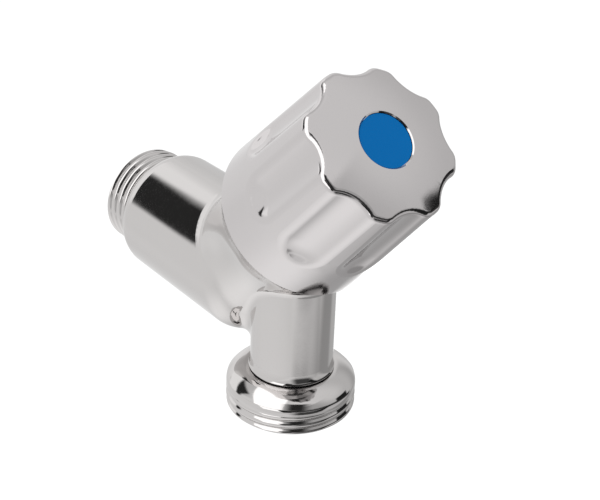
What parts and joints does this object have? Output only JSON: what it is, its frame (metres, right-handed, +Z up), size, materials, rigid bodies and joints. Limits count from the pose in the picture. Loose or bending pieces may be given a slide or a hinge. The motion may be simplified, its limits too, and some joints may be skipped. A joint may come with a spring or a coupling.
{
  "type": "outdoor wall tap",
  "caption": "Chromed outdoor wall tap: threaded inlet spigot, oblique boss with a fluted turning handle and a downward spout ending in a threaded hose adapter.",
  "frame": {"origin": "on the inlet axis, in the shoulder plane where the inlet thread meets the casting", "axes": "+X to the right when facing the tap, +Y along the inlet thread towards the wall, +Z up"},
  "size_m": [0.034, 0.0846, 0.0779],
  "materials": {
    "chromed_brass": "polished chrome plate on brass",
    "chromed_zinc": "polished chrome plate on die-cast zinc",
    "brass": "machined",
    "spring_steel": "bright stainless",
    "rubber": "moulded black rubber",
    "fibre": "pressed fibre sheet",
    "slip_plastic": "natural acetal",
    "blue_plastic": "gloss moulded blue",
    "cartridge_plastic": "moulded off-white acetal"
  },
  "bodies": {
    "tap_body": {"valve_body": "chromed_brass", "headwork": "brass", "headwork_seal": "fibre", "outlet_adapter": "chromed_brass", "adapter_ring": "rubber", "check_housing": "cartridge_plastic", "check_guide": "cartridge_plastic", "check_ring": "rubber", "check_spring": "spring_steel"},
    "spindle": {"spindle": "brass", "slip_ring": "slip_plastic", "circlip": "spring_steel", "spindle_lower_ring": "rubber", "spindle_upper_ring": "rubber", "handle": "chromed_zinc", "handle_screw": "spring_steel", "index_disc": "blue_plastic"},
    "piston": {"piston": "brass", "seat_washer": "rubber", "washer_screw": "brass"},
    "poppet": {"check_poppet": "cartridge_plastic", "poppet_seal": "rubber"}
  },
  "joints": [
    {"name": "handle_turn", "type": "hinge", "parent": "tap_body", "child": "spindle", "pos_m": [0, -0.0278, 0], "axis": [0, -0.6691, 0.7431], "range_deg": [0, 1200]},
    {"name": "piston_lift", "type": "slide", "parent": "tap_body", "child": "piston", "axis": [0, -0.6691, 0.7431], "range_m": [0, 0.005]},
    {"name": "poppet_lift", "type": "slide", "parent": "tap_body", "child": "poppet", "axis": [0, 0, -1], "range_m": [0, 0.002], "stiffness_N_per_m": 50, "springref_m": -0.0015, "deforming": ["check_spring"]}
  ],
  "couplings": [
    {"joint": "piston_lift", "follows": "handle_turn", "m_per_rad": 0.00023873}
  ]
}
